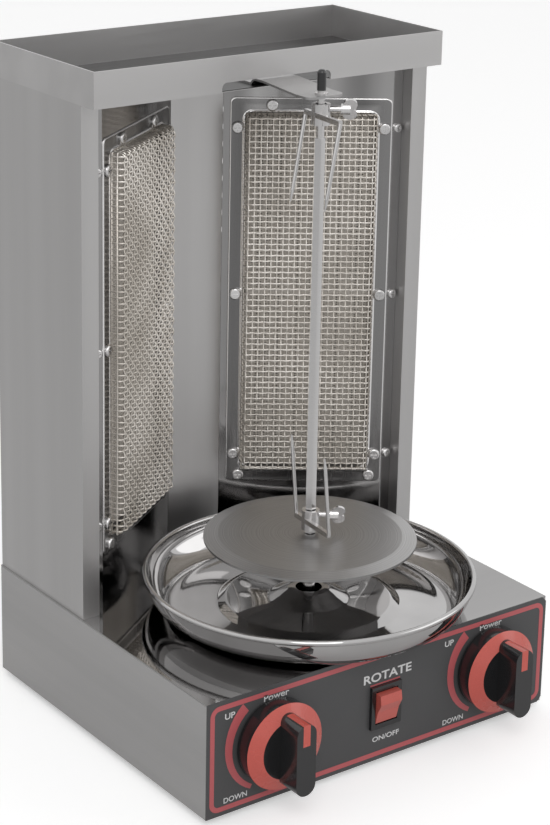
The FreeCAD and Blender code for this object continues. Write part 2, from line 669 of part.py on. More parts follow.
def make_gas_line():
    y0 = dim.panel_back
    for label, sign in SIDES:
        x = sign * dim.knob_x
        body = rod(dim.valve_radius, dim.valve_length, (x, y0, dim.knob_z), (0, 1, 0))
        body = body.cut(rod(dim.stem_radius + dim.running_gap, 20, (x, y0 - 1, dim.knob_z), (0, 1, 0)))
        drop = dim.knob_z - dim.manifold_z
        saddle = Part.makeBox(16, 14, drop, Vector(x - 8, dim.manifold_y - 7, dim.manifold_z))
        bore = rod(dim.manifold_radius + dim.running_gap, 60,
                   (x - 30, dim.manifold_y, dim.manifold_z), (1, 0, 0))
        body = body.fuse(saddle).cut(bore)
        nut = rod(dim.feed_radius + 3, 7, (x, y0 + dim.valve_length, dim.knob_z), (0, 1, 0))
        bore = rod(dim.feed_radius + dim.running_gap, 9, (x, y0 + dim.valve_length, dim.knob_z), (0, 1, 0))
        body = body.fuse(nut).cut(bore)
        shaped(body, label + "_gas_valve")

        reach = y0 - dim.front + 18.5
        inside = dim.knob_reach - 10
        stem = rod(dim.stem_radius, reach + inside, (x, dim.front - inside, dim.knob_z), (0, 1, 0))
        flat = Part.makeBox(10, inside - 2, 2,
                            Vector(x - 5, dim.front - inside, dim.knob_z + dim.stem_radius - 1.5))
        shaped(stem.cut(flat), label + "_valve_stem")

        end = injector_spot(sign)
        low = end.z - 9
        outlet = y0 + dim.valve_length
        path = [(x, outlet, dim.knob_z), (x, outlet + 20, dim.knob_z),
                (end.x, end.y, dim.knob_z), (end.x, end.y, low)]
        bend = min(12.0, (low - dim.knob_z) * 0.9)
        shaped(pipe(path, bend, dim.feed_radius), label + "_feed_tube")
    nozzles = []
    for label, sign in SIDES:
        end = injector_spot(sign)
        body = rod(dim.injector_radius, 9, (end.x, end.y, end.z - 9), (0, 0, 1))
        tip = rod(dim.injector_radius - 1.5, 5, (end.x, end.y, end.z), (0, 0, 1))
        bore = rod(0.5, 20, (end.x, end.y, end.z - 10), (0, 0, 1))
        nozzles.append(body.fuse(tip).cut(bore))
    shaped(Part.makeCompound(nozzles), "injectors")

    x_right = dim.knob_x + 14
    x_left = -dim.inlet_pipe_x
    manifold = pipe([(x_right, dim.manifold_y, dim.manifold_z), (x_left, dim.manifold_y, dim.manifold_z),
                     (x_left, dim.back - dim.base_metal - 8, dim.manifold_z)], 16, dim.manifold_radius)
    shaped(manifold, "gas_manifold")

    y_in = dim.back - dim.base_metal - 8
    inlet = rod(dim.inlet_radius, dim.back + dim.inlet_reach - y_in, (x_left, y_in, dim.manifold_z), (0, 1, 0))
    for y in (dim.back - dim.base_metal - dim.inlet_nut_thick, dim.back):
        inlet = inlet.fuse(hexagon(dim.inlet_nut_radius, dim.inlet_nut_thick, (x_left, y, dim.manifold_z)))
    inlet = inlet.cut(rod(dim.inlet_radius - 2.6, 40, (x_left, y_in + 6, dim.manifold_z), (0, 1, 0)))
    shaped(inlet, "gas_inlet")


def hexagon(radius, thickness, spot):
    corners = [Vector(radius * math.cos(math.radians(60 * k)), 0, radius * math.sin(math.radians(60 * k)))
               for k in range(7)]
    nut = Part.Face(Part.makePolygon(corners)).extrude(Vector(0, thickness, 0))
    nut.translate(Vector(*spot))
    return nut


# ---------------------------------------------------------------- electrics
def make_electrics():
    z = dim.gland_z
    y_wall = dim.back - dim.base_metal
    gland = rod(dim.gland_radius, dim.gland_reach, (dim.gland_x, dim.back, z), (0, 1, 0))
    mouth = dim.back + dim.gland_reach - 0.01
    rim = [edge for edge in gland.Edges if edge.BoundBox.YMin > mouth and len(edge.Vertexes) == 1]
    gland = gland.makeFillet(3, rim)
    gland = gland.fuse(hexagon(dim.gland_radius * 1.25, 5, (dim.gland_x, dim.back, z)))
    gland = gland.fuse(rod(dim.gland_radius * 0.75, 12, (dim.gland_x, y_wall - 8, z), (0, 1, 0)))
    gland = gland.fuse(hexagon(dim.gland_radius * 1.2, 4, (dim.gland_x, y_wall - 4, z)))
    gland = gland.cut(rod(dim.gland_bore, 60, (dim.gland_x, y_wall - 20, z), (0, 1, 0)))
    shaped(gland, "cord_gland")

    keep(switch_bezel(), "switch_bezel")
    back = box("-switch_body_width / 2 + 0.1", "panel_back + 0.1", "switch_z - switch_body_height / 2 + 0.1",
               "switch_body_width - 0.2", "switch_body_depth", "switch_body_height - 0.2")
    well = box("-rocker_width / 2 - 0.5", "panel_back - 1", "switch_z - rocker_height / 2 - 0.5",
               "rocker_width + 1", "8", "rocker_height + 1")
    tabs = [box(f"{column} * tab_x - tab_width / 2", "panel_back + switch_body_depth - 1",
                f"switch_z + {level} * tab_pitch - tab_thick / 2", "tab_width", "tab_length", "tab_thick")
            for column in (-1, 1) for level in (-1, 0, 1)]
    keep(fuse(cut(back, well), *tabs), "switch_body")
    shaped(rocker_shape(), "switch_rocker")
    block = box("block_x", "back - block_inset", "base_low + base_metal", "block_width", "block_depth", "16")
    slots = [box(f"block_x + 4 + {place} * 10", "back - block_inset - 1", "base_low + base_metal + 5",
                 "6", "block_depth + 2", "6") for place in range(3)]
    keep(cut(block, *slots), "terminal_block")


def switch_bezel():
    outer = box("-switch_width / 2", "front - switch_lip", "switch_z - switch_height / 2",
                "switch_width", "switch_lip", "switch_height")
    neck = box("-switch_body_width / 2 + 0.1", "front", "switch_z - switch_body_height / 2 + 0.1",
               "switch_body_width - 0.2", "panel_back - front + 0.1", "switch_body_height - 0.2")
    well = box("-rocker_width / 2 - 0.5", "front - switch_lip - 1", "switch_z - rocker_height / 2 - 0.5",
               "rocker_width + 1", "switch_lip + panel_back - front + 2", "rocker_height + 1")
    return cut(fuse(outer, neck), well)


def rocker_shape():
    """A rocker on a cross pivot, its foot pressed in and its head standing out."""
    half = dim.rocker_height / 2
    y_face = dim.front - dim.switch_lip
    outline = [(0.35, -half + 0.3), (1.9, -half + 0.3), (5.0, -2.5), (5.0, 2.5), (1.0, half - 0.6),
               (-4.2, half - 0.9), (-5.2, half * 0.36), (-1.9, -half * 0.2)]
    corners = [Vector(0, y_face + y, dim.switch_z + z) for y, z in outline]
    face = Part.Face(Part.makePolygon(corners + corners[:1]))
    rocker = face.extrude(Vector(dim.rocker_width, 0, 0))
    rocker.translate(Vector(-dim.rocker_width / 2, 0, 0))
    half_pivot = dim.rocker_width / 2 + 0.45
    pivot = rod(1.2, 2 * half_pivot, (-half_pivot, y_face + 3, dim.switch_z), (1, 0, 0))
    return rocker.fuse(pivot)


# ---------------------------------------------------------------- drive
def bracket_low():
    return dim.deck_low - 12 - dim.bracket_thick


def make_drive():
    y = dim.spit_y
    low = bracket_low()
    motor = rod(dim.motor_radius, dim.motor_length, (0, y, low - dim.motor_length), (0, 0, 1))
    boss = rod(9, 6, (0, y, low), (0, 0, 1))
    motor = motor.fuse(boss).cut(rod(dim.drive_shaft_radius + dim.running_gap, 12, (0, y, low - 5), (0, 0, 1)))
    shaped(motor, "gear_motor")

    half = dim.bracket_half
    t = dim.bracket_thick
    foot = dim.deck_low - t - low
    run = [(-half, foot), (-half + 12, foot), (-half + 12, 0), (half - 12, 0), (half - 12, foot), (half, foot)]
    bracket = folded_sheet(run, t, -22, 44)
    bracket.rotate(Vector(), Vector(1, 0, 0), 90)
    bracket.translate(Vector(0, y, low))
    bracket = bracket.cut(rod(9.1, 20, (0, y, low - 5), (0, 0, 1)))
    for sign in (-1, 1):
        bracket = bracket.cut(rod(dim.screw_hole, 30, (sign * (half - 6), y, low - 5), (0, 0, 1)))
    shaped(bracket, "motor_bracket")

    bush = fuse(cylinder("0", "spit_y", "deck_low - 4", "bush_radius", "base_metal + 4"),
                cylinder("0", "spit_y", "deck_top", "bush_flange", "bush_flange_thick"))
    bore = cylinder("0", "spit_y", "deck_low - 6", "drive_shaft_radius + running_gap", "base_metal + 12")
    keep(cut(bush, bore), "shaft_bush")

    top = dim.deck_top + dim.drive_shaft_top
    shaft = rod(dim.drive_shaft_radius, top - low + 4.5, (0, y, low - 4.5), (0, 0, 1))
    shaped(shaft, "drive_shaft")

    coupling = cylinder("0", "spit_y", "deck_top + coupling_low",
                        "coupling_radius", "coupling_top - coupling_low")
    lower = cylinder("0", "spit_y", "deck_top", "drive_shaft_radius", "drive_shaft_top + 0.2")
    upper = cylinder("0", "spit_y", "deck_top + drive_shaft_top", "spit_corner + 0.1", "coupling_top")
    slot = box("-coupling_radius - 1", "spit_y - cross_pin_radius - 0.1",
               "deck_top + cross_pin_rise - cross_pin_radius - 0.1",
               "2 * coupling_radius + 2", "2 * cross_pin_radius + 0.2", "coupling_top")
    keep(cut(coupling, lower, upper, slot), "drive_coupling")


# ---------------------------------------------------------------- spit
def make_spit():
    y = dim.spit_y
    side = dim.spit_side
    low = dim.deck_top + dim.spit_foot
    bar = Part.makeBox(side, side, dim.neck_z - low, Vector(-side / 2, -side / 2, low))
    bar.rotate(Vector(), Vector(0, 0, 1), 19)
    neck = rod(dim.neck_radius, dim.cap_z + dim.cap_length - 4 - dim.neck_z, (0, 0, dim.neck_z), (0, 0, 1))
    shaft = bar.fuse(neck)
    pin_z = dim.deck_top + dim.cross_pin_rise
    shaft = shaft.cut(rod(dim.cross_pin_radius + dim.running_gap, 20, (-10, 0, pin_z), (1, 0, 0)))
    shaft.translate(Vector(0, y, 0))
    shaped(shaft, "spit_shaft")
    pin = cylinder("-coupling_radius", "spit_y", "deck_top + cross_pin_rise",
                   "cross_pin_radius", "2 * coupling_radius", "x")
    keep(pin, "spit_cross_pin")

    cap = rod(dim.cap_radius, dim.cap_length, (0, y, dim.cap_z), (0, 0, 1))
    crown = dim.cap_z + dim.cap_length - 0.01
    tip = [edge for edge in cap.Edges if edge.BoundBox.ZMin > crown and len(edge.Vertexes) == 1]
    cap = cap.makeFillet(dim.cap_radius * 0.85, tip)
    cap = cap.cut(rod(dim.neck_radius + dim.running_gap, dim.cap_length - 4, (0, y, dim.cap_z), (0, 0, 1)))
    shaped(cap, "spit_cap")

    t = "disc_thick"
    bore = "(spit_corner + 0.05)"
    disc = body_from(
        [(bore, f"-{t} - hub_length"), ("hub_radius", f"-{t} - hub_length"),
         ("hub_radius", f"-{t}"), ("disc_radius - disc_rim", f"-{t}"),
         ("disc_radius", f"-{t} - disc_drop"), ("disc_radius", "-disc_drop"),
         ("disc_radius - disc_rim", "0"), (bore, "0")],
        "meat_disc", "Revolution", Angle=360)
    keep(at(disc, y="spit_y", z="disc_top"), "meat_disc")


def fork_shape(low, upward):
    """Collar, cross strip and two prongs. The strip runs front to back beside the collar."""
    heading = 1 if upward else -1
    sideways = dim.lower_lean if upward else dim.upper_lean
    collar = rod(dim.collar_radius, dim.collar_length, (0, 0, low), (0, 0, 1))
    strip_z = low + dim.collar_length / 2
    front = Vector(-dim.collar_radius - 1, -dim.fork_front, strip_z)
    back = Vector(-dim.collar_radius + 3, dim.fork_back, strip_z)
    along = back - front
    strip = Part.makeBox(along.Length, dim.strip_width, dim.strip_height,
                         Vector(0, -dim.strip_width / 2, -dim.strip_height / 2))
    strip.Placement = Placement(front, Rotation(Vector(1, 0, 0), along))
    fork = collar.fuse(strip)
    for foot, length in ((front, dim.front_prong), (back, dim.back_prong)):
        lean = Vector(-sideways, 0, heading * length)
        prong = Part.makeCylinder(dim.prong_radius, lean.Length - 8, foot, lean)
        end = foot + lean * ((lean.Length - 8) / lean.Length)
        point = Part.makeCone(dim.prong_radius, 0.35, 8, end, lean)
        fork = fork.fuse([prong, point])
    return fork


def wing_screw(height):
    """Clamp screw through a collar up to the spit's corners, with two tilted wings on its head."""
    start = dim.spit_corner + 0.02
    shank = rod(dim.wing_shank, dim.wing_reach + 4 - start, (start, 0, height), (1, 0, 0))
    hub = rod(3.6, 6, (dim.wing_reach, 0, height), (1, 0, 0))
    screw = shank.fuse(hub)
    for sign in (-1, 1):
        middle = Vector(dim.wing_reach + 6, -0.8, height + sign * dim.wing_span * 0.24)
        wing = Part.makeCylinder(dim.wing_span * 0.29, 1.6, middle, Vector(0, 1, 0))
        screw = screw.fuse(wing)
    screw.rotate(Vector(0, 0, height), Vector(1, 0, 0), dim.wing_tilt)
    return screw


def make_forks():
    clamp = Rotation(Vector(0, 0, 1), dim.wing_turn)
    spot = Placement(Vector(0, dim.spit_y, 0), Rotation())
    for label, low, upward in (("upper", dim.upper_collar_z, False), ("lower", dim.lower_collar_z, True)):
        height = low + dim.clamp_rise
        fork = fork_shape(low, upward)
        thread = rod(dim.wing_shank + dim.running_gap, 20, (0, 0, height), (1, 0, 0))
        thread.rotate(Vector(), Vector(0, 0, 1), dim.wing_turn)
        fork = fork.cut(thread).cut(rod(dim.collar_bore, 60, (0, 0, low - 20), (0, 0, 1)))
        shaped(fork, label + "_fork", spot)
        screw = wing_screw(height)
        shaped(screw, label + "_wing_screw", spot.multiply(Placement(Vector(), clamp)))


# ---------------------------------------------------------------- drip pan
def make_pan():
    r, t = dim.pan_radius, dim.pan_metal
    rim = r - dim.pan_bead
    top = dim.pan_rise - dim.pan_bead
    flat = [(dim.dome_hole, dim.dome_rise - t), (dim.dome_top, dim.dome_rise - t),
            (dim.dome_foot, dim.emboss_rise - t), (dim.emboss_inner, dim.emboss_rise - t),
            (dim.emboss_outer, 0), (dim.pan_foot, 0)]
    wall = []
    for step in range(1, 7):
        angle = step * math.pi / 12
        wall.append((dim.pan_foot + (rim - dim.pan_foot) * math.sin(angle), top * (1 - math.cos(angle))))
    outline = folded_outline(flat + wall, t)
    corners = [Vector(point.x, 0, point.y) for point in outline]
    section = Part.Face(Part.makePolygon(corners + corners[:1]))
    pan = section.revolve(Vector(), Vector(0, 0, 1), 360)
    bead = Part.makeTorus(rim, dim.pan_bead, Vector(0, 0, top))
    pan = pan.fuse(bead)
    shaped(pan, "drip_pan", Placement(Vector(0, dim.spit_y, dim.deck_top), Rotation()))


# ---------------------------------------------------------------- knobs
def make_knobs():
    for label, sign in SIDES:
        place = Placement(Vector(sign * dim.knob_x, dim.front, dim.knob_z), Rotation())
        skirt = rod(dim.knob_radius - 0.8, dim.knob_skirt - dim.knob_gap, (0, -dim.knob_gap, 0), (0, -1, 0))
        face = rod(dim.knob_ring_inner, dim.knob_ring_step, (0, -dim.knob_skirt, 0), (0, -1, 0))
        knob = skirt.fuse([face, grip_shape()])
        hollow = rod(dim.knob_radius - 3, dim.knob_skirt - dim.knob_gap - 3, (0, -dim.knob_gap, 0), (0, -1, 0))
        hub = rod(dim.stem_radius + 3, dim.knob_skirt, (0, -dim.knob_gap, 0), (0, -1, 0))
        knob = knob.cut(hollow.cut(hub))
        inside = dim.knob_reach - 10
        bore = rod(dim.stem_radius + 0.03, inside + 1, (0, 1, 0), (0, -1, 0))
        flat = Part.makeBox(10, inside - 2, 2, Vector(-5, -inside, dim.stem_radius - 1.47))
        knob = knob.cut(bore.cut(flat))
        marker = marker_shape()
        knob = knob.cut(marker)
        shaped(knob, label + "_knob", place)
        shaped(marker, label + "_knob_marker", place)


def grip_shape():
    """The upright bar of a knob, with round ends."""
    rise = dim.knob_reach - dim.knob_skirt
    grip = rounded_plate(dim.grip_width, dim.grip_length, rise, dim.grip_width * 0.49)
    grip.translate(Vector(0, -dim.knob_reach, 0))
    return grip


def marker_shape():
    """The coloured parts of a knob: a cone ring round its face and a pointer along the grip."""
    outer = Part.makeCone(dim.knob_radius, dim.knob_ring_inner, dim.knob_ring_step,
                          Vector(0, -dim.knob_skirt, 0), Vector(0, -1, 0))
    ring = outer.cut(rod(dim.knob_ring_inner, 20, (0, -dim.knob_skirt + 5, 0), (0, -1, 0)))
    grip = grip_shape()
    ring = ring.cut(grip)
    w, t = dim.pointer_width, dim.pointer_thick
    top = dim.grip_length / 2
    front = Part.makeBox(w, t, dim.pointer_down, Vector(-w / 2, -dim.knob_reach, top - dim.pointer_down))
    above = Part.makeBox(w, dim.knob_reach - dim.knob_skirt - dim.knob_ring_step, t,
                         Vector(-w / 2, -dim.knob_reach, top - t))
    pointer = front.fuse(above).common(grip)
    return Part.makeCompound([ring, pointer])


# ---------------------------------------------------------------- build and write
for build in (make_feet, make_base, make_overlay, make_side_panels, make_back, make_burner_plates,
              make_top, make_tray, make_arm, make_burners, make_chassis_screws, make_gas_line,
              make_electrics, make_drive,
              make_spit, make_forks, make_pan, make_knobs):
    build()
doc.recompute()

for item in doc.Objects:
    if "Invalid" in item.State or "Error" in item.State:
        raise RuntimeError(f"{item.Label} failed: {item.State}")
os.makedirs("parts", exist_ok=True)
for node in nodes:
    if node.Shape.isNull() or not node.Shape.isValid() or not node.Shape.Solids:
        raise RuntimeError(f"{node.Label} has no valid solid")
    node.Shape.exportStep(f"parts/{node.Label}.step")
    print(node.Label, len(node.Shape.Solids), round(node.Shape.Volume, 1))
print(len(nodes), "nodes")
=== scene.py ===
"""The visual model of a two-burner vertical broiler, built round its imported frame. All lengths are in metres."""

import math
import bpy
from mathutils import Matrix, Vector


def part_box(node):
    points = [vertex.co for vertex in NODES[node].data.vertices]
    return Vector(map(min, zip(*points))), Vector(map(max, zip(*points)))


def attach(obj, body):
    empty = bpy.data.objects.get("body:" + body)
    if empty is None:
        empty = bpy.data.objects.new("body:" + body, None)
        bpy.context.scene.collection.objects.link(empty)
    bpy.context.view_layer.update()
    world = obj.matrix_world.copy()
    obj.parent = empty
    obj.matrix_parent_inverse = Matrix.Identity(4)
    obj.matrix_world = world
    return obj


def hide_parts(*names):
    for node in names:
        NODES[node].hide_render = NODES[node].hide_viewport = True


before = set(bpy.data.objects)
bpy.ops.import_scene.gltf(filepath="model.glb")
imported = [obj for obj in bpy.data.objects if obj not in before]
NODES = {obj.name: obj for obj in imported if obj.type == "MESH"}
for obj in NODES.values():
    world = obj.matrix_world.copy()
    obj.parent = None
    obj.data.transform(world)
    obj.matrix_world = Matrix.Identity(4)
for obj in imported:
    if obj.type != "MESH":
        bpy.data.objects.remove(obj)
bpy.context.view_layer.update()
MM = 0.001
SIDES = (("left", -1), ("right", 1))


# ---------------------------------------------------------------- helpers
def let_go():
    """Nothing is selected, so the next operator acts only on what it is given."""
    bpy.ops.object.select_all(action="DESELECT")


def take(*objects):
    let_go()
    for item in objects:
        item.select_set(True)
    bpy.context.view_layer.objects.active = objects[0]
    return objects[0]


def named(name):
    item = bpy.context.object
    item.name = name
    item.data.name = name
    return item


def set_down(item, spot=(0, 0, 0), turn=(0, 0, 0)):
    """Turns the piece, in degrees, moves it to its spot, and puts both into its mesh."""
    item.rotation_euler = [math.radians(angle) for angle in turn]
    item.location = Vector(spot)
    take(item)
    bpy.ops.object.transform_apply(location=True, rotation=True, scale=True)
    return item


def join(name, *parts):
    take(*parts)
    if len(parts) > 1:
        bpy.ops.object.join()
    return named(name)


def soften(item, width, segments=2, angle=35):
    """A small rounded edge on every sharp corner."""
    bevel = item.modifiers.new("edge", "BEVEL")
    bevel.width = width
    bevel.segments = segments
    bevel.limit_method = "ANGLE"
    bevel.angle_limit = math.radians(angle)
    bevel.harden_normals = False
    return item


def smooth(item, angle=40):
    take(item)
    bpy.ops.object.shade_smooth_by_angle(angle=math.radians(angle))
    return item


def finish_piece(item, material, body, *replaced):
    item.data.materials.clear()
    item.data.materials.append(material)
    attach(item, body)
    if replaced:
        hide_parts(*replaced)
    return item


def turned(name, profile, around=128):
    """A round piece: a circle pushed out, in and up through the (radius, height) pairs of its profile."""
    let_go()
    first_radius, first_height = profile[0]
    bpy.ops.mesh.primitive_circle_add(vertices=around, radius=first_radius, location=(0, 0, first_height))
    bpy.ops.object.mode_set(mode="EDIT")
    bpy.ops.mesh.select_all(action="SELECT")
    radius, height = first_radius, first_height
    for next_radius, next_height in profile[1:]:
        bpy.ops.mesh.extrude_edges_move(TRANSFORM_OT_translate={"value": (0, 0, next_height - height)})
        scale = next_radius / radius
        bpy.ops.transform.resize(value=(scale, scale, 1), center_override=(0, 0, next_height))
        radius, height = next_radius, next_height
    bpy.ops.mesh.select_all(action="SELECT")
    bpy.ops.mesh.remove_doubles(threshold=1e-6)
    bpy.ops.mesh.normals_make_consistent(inside=False)
    bpy.ops.object.mode_set(mode="OBJECT")
    item = named(name)
    take(item)
    bpy.ops.object.transform_apply(location=True, rotation=True, scale=True)
    return item


def arc(centre, radius, start, end, steps):
    """(radius, height) pairs along an arc, angles in degrees."""
    pairs = []
    for step in range(steps + 1):
        angle = math.radians(start + (end - start) * step / steps)
        pairs.append((centre[0] + radius * math.cos(angle), centre[1] + radius * math.sin(angle)))
    return pairs


def plate(name, width, height, thick, corner, corner_steps=6):
    """A flat plate with round corners that faces the front, its back on y = 0."""
    let_go()
    bpy.ops.mesh.primitive_plane_add(size=1)
    item = named(name)
    item.scale = (width, height, 1)
    bpy.ops.object.transform_apply(scale=True)
    bpy.ops.object.mode_set(mode="EDIT")
    bpy.ops.mesh.select_all(action="SELECT")
    bpy.ops.mesh.bevel(offset=corner, segments=corner_steps, affect="VERTICES")
    bpy.ops.mesh.select_all(action="SELECT")
    bpy.ops.mesh.extrude_region_move(TRANSFORM_OT_translate={"value": (0, 0, thick)})
    bpy.ops.mesh.select_all(action="SELECT")
    bpy.ops.mesh.normals_make_consistent(inside=False)
    bpy.ops.object.mode_set(mode="OBJECT")
    return set_down(item, turn=(90, 0, 0))


def wire(name, points, radius, sides=1):
    """A wire along a smooth line through the given turning points."""
    let_go()
    bpy.ops.curve.primitive_nurbs_path_add()
    item = named(name)
    spline = item.data.splines[0]
    spline.points.add(len(points) - len(spline.points))
    for point, spot in zip(spline.points, points):
        point.co = (*spot, 1)
    spline.order_u = 3
    spline.use_endpoint_u = True
    item.data.resolution_u = 2
    item.data.bevel_depth = radius
    item.data.bevel_resolution = sides
    item.data.use_fill_caps = True
    take(item)
    bpy.ops.object.convert(target="MESH")
    return named(name)


def repeat(item, count, step):
    row = item.modifiers.new("row", "ARRAY")
    row.use_relative_offset = False
    row.use_constant_offset = True
    row.constant_offset_displace = step
    row.count = count
    take(item)
    bpy.ops.object.modifier_apply(modifier=row.name)
    return item


# ---------------------------------------------------------------- materials
def new_material(name):
    material = bpy.data.materials.new(name)
    material.use_nodes = True
    return material, material.node_tree.nodes, material.node_tree.links, material.node_tree.nodes["Principled BSDF"]


def spread(nodes, links, scale, detail=4.0, stretch=(1, 1, 1)):
    """Fine noise over the piece's own coordinates, drawn out along some of them."""
    place = nodes.new("ShaderNodeTexCoord")
    shape = nodes.new("ShaderNodeMapping")
    shape.inputs["Scale"].default_value = stretch
    noise = nodes.new("ShaderNodeTexNoise")
    noise.inputs["Scale"].default_value = scale
    noise.inputs["Detail"].default_value = detail
    links.new(place.outputs["Object"], shape.inputs["Vector"])
    links.new(shape.outputs["Vector"], noise.inputs["Vector"])
    return noise.outputs["Fac"]


def between(nodes, links, source, low, high, from_low=0.3, from_high=0.7):
    span = nodes.new("ShaderNodeMapRange")
    span.inputs["From Min"].default_value = from_low
    span.inputs["From Max"].default_value = from_high
    span.inputs["To Min"].default_value = low
    span.inputs["To Max"].default_value = high
    links.new(source, span.inputs["Value"])
    return span.outputs["Result"]


def tint(nodes, links, source, dark, light):
    ramp = nodes.new("ShaderNodeMix")
    ramp.data_type = "RGBA"
    ramp.inputs["A"].default_value = (*dark, 1)
    ramp.inputs["B"].default_value = (*light, 1)
    links.new(source, ramp.inputs["Factor"])
    return ramp.outputs["Result"]


def bump(nodes, links, shader, source, strength, distance=0.0002):
    raised = nodes.new("ShaderNodeBump")
    raised.inputs["Strength"].default_value = strength
    raised.inputs["Distance"].default_value = distance
    links.new(source, raised.inputs["Height"])
    links.new(raised.outputs["Normal"], shader.inputs["Normal"])


def steel(name, dark, light, rough, stretch, grain=900, relief=0.05, rough_spread=0.06):
    """Steel with fine lines drawn along one direction, and slow changes of tone across them. On the polished plates
    and the frame, where dark and light lie far apart, the slow tone is painted reflection.
    """
    material, nodes, links, shader = new_material(name)
    shader.inputs["Metallic"].default_value = 1.0
    lines = spread(nodes, links, grain, 3.0, stretch)
    tone = spread(nodes, links, grain * 0.03, 2.0, stretch)
    links.new(tint(nodes, links, between(nodes, links, tone, 0, 1), dark, light), shader.inputs["Base Color"])
    links.new(between(nodes, links, lines, rough, rough + rough_spread), shader.inputs["Roughness"])
    if relief:
        bump(nodes, links, shader, lines, relief)
    return material


def plastic(name, colour, rough, grain=0.03, coat=0.0):
    material, nodes, links, shader = new_material(name)
    speckle = spread(nodes, links, 1400, 3.0)
    dark = [channel * 0.9 for channel in colour]
    links.new(tint(nodes, links, between(nodes, links, speckle, 0, 1), dark, colour), shader.inputs["Base Color"])
    slow = spread(nodes, links, 60, 2.0)
    links.new(between(nodes, links, slow, rough, rough + 0.08), shader.inputs["Roughness"])
    shader.inputs["Coat Weight"].default_value = coat
    shader.inputs["Coat Roughness"].default_value = 0.08
    if grain:
        bump(nodes, links, shader, speckle, grain)
    return material


def grey(level):
    return (level, level * 0.985, level * 0.98)


ACROSS = (0.02, 1, 1)
UPRIGHT = (1, 1, 0.02)
PANEL = steel("brushed_panel", grey(0.46), grey(0.52), 0.34, UPRIGHT)
TRAY = steel("brushed_tray", grey(0.50), grey(0.56), 0.34, ACROSS)
ARM = steel("folded_arm", grey(0.34), grey(0.42), 0.36, UPRIGHT)
WRAP = steel("brushed_base", grey(0.42), grey(0.48), 0.34, (1, 0.02, 1))
# On the polished burner plates the dark-to-light colour streaks along the height are painted reflection; the fine
# lines in roughness and bump are the steel's grain.
POLISHED_PAINTED_REFLECTION = steel("polished_plate_painted_reflection", grey(0.20), grey(0.45), 0.09, UPRIGHT, relief=0.01, rough_spread=0.05)
# The frame's steel comes as two copies of one finish: the dark copy's streaks are painted dark reflection for the
# flats, and the near-white copy is a painted highlight for the rolled edges.
FRAME_PAINTED_DARK_REFLECTION = steel("pressed_frame", grey(0.13), grey(0.30), 0.22, UPRIGHT, relief=0.01)
FRAME_PAINTED_HIGHLIGHT = steel("frame_edge_painted_highlight", grey(0.80), grey(0.88), 0.16, (1, 1, 1), relief=0.0)
DECK = steel("mirror_deck", grey(0.32), grey(0.36), 0.035, ACROSS, relief=0.0, rough_spread=0.02)
CHROME = steel("spun_pan", grey(0.42), grey(0.48), 0.045, (1, 1, 1), relief=0.0, rough_spread=0.02)
BRIGHT = steel("bright_rod", grey(0.52), grey(0.70), 0.16, UPRIGHT, relief=0.02)
WIRE = steel("woven_wire", (0.56, 0.52, 0.47), (0.86, 0.82, 0.77), 0.34, (1, 1, 1), grain=500, relief=0.0)
SCREW = steel("screw_heads", grey(0.5), grey(0.72), 0.2, (1, 1, 1), relief=0.0)
ZINC = steel("zinc_sheet", grey(0.22), grey(0.32), 0.42, (1, 1, 1), grain=120, relief=0.02)
BRASS = steel("machined_brass", (0.42, 0.28, 0.10), (0.55, 0.40, 0.17), 0.25, (1, 1, 1), relief=0.01)
BLACK = plastic("black_gloss", (0.012, 0.012, 0.013), 0.16, 0.01, coat=0.4)
NYLON = plastic("white_nylon", (0.6, 0.59, 0.56), 0.45)
RUBBER = plastic("black_rubber", (0.02, 0.02, 0.02), 0.7, 0.1)
RED = plastic("red_gloss", (0.62, 0.10, 0.075), 0.22, 0.01, coat=0.3)
SWITCH_RED = plastic("red_switch", (0.60, 0.115, 0.09), 0.25, 0.01, coat=0.3)
RED_PRINT = plastic("red_print", (0.55, 0.12, 0.13), 0.4, 0.0)
WHITE_PRINT = plastic("white_print", (0.75, 0.75, 0.75), 0.45, 0.0)
OVERLAY = plastic("grey_overlay", (0.072, 0.072, 0.074), 0.42, 0.12)


def brushed_disc():
    """Steel with turning lines round its own axis."""
    material, nodes, links, shader = new_material("turned_disc")
    shader.inputs["Metallic"].default_value = 1.0
    low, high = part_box("meat_disc")
    place = nodes.new("ShaderNodeTexCoord")
    centre = nodes.new("ShaderNodeVectorMath")
    centre.operation = "SUBTRACT"
    centre.inputs[1].default_value = ((low.x + high.x) / 2, (low.y + high.y) / 2, 0)
    flat = nodes.new("ShaderNodeVectorMath")
    flat.operation = "MULTIPLY"
    flat.inputs[1].default_value = (1, 1, 0)
    radius = nodes.new("ShaderNodeVectorMath")
    radius.operation = "LENGTH"
    rings = nodes.new("ShaderNodeTexNoise")
    rings.noise_dimensions = "1D"
    rings.inputs["Scale"].default_value = 1500
    rings.inputs["Detail"].default_value = 3
    links.new(place.outputs["Object"], centre.inputs[0])
    links.new(centre.outputs["Vector"], flat.inputs[0])
    links.new(flat.outputs["Vector"], radius.inputs[0])
    links.new(radius.outputs["Value"], rings.inputs["W"])
    links.new(between(nodes, links, rings.outputs["Fac"], 0.3, 0.42), shader.inputs["Roughness"])
    tone = between(nodes, links, rings.outputs["Fac"], 0, 1)
    links.new(tint(nodes, links, tone, grey(0.30), grey(0.46)), shader.inputs["Base Color"])
    bump(nodes, links, shader, rings.outputs["Fac"], 0.06)
    return material


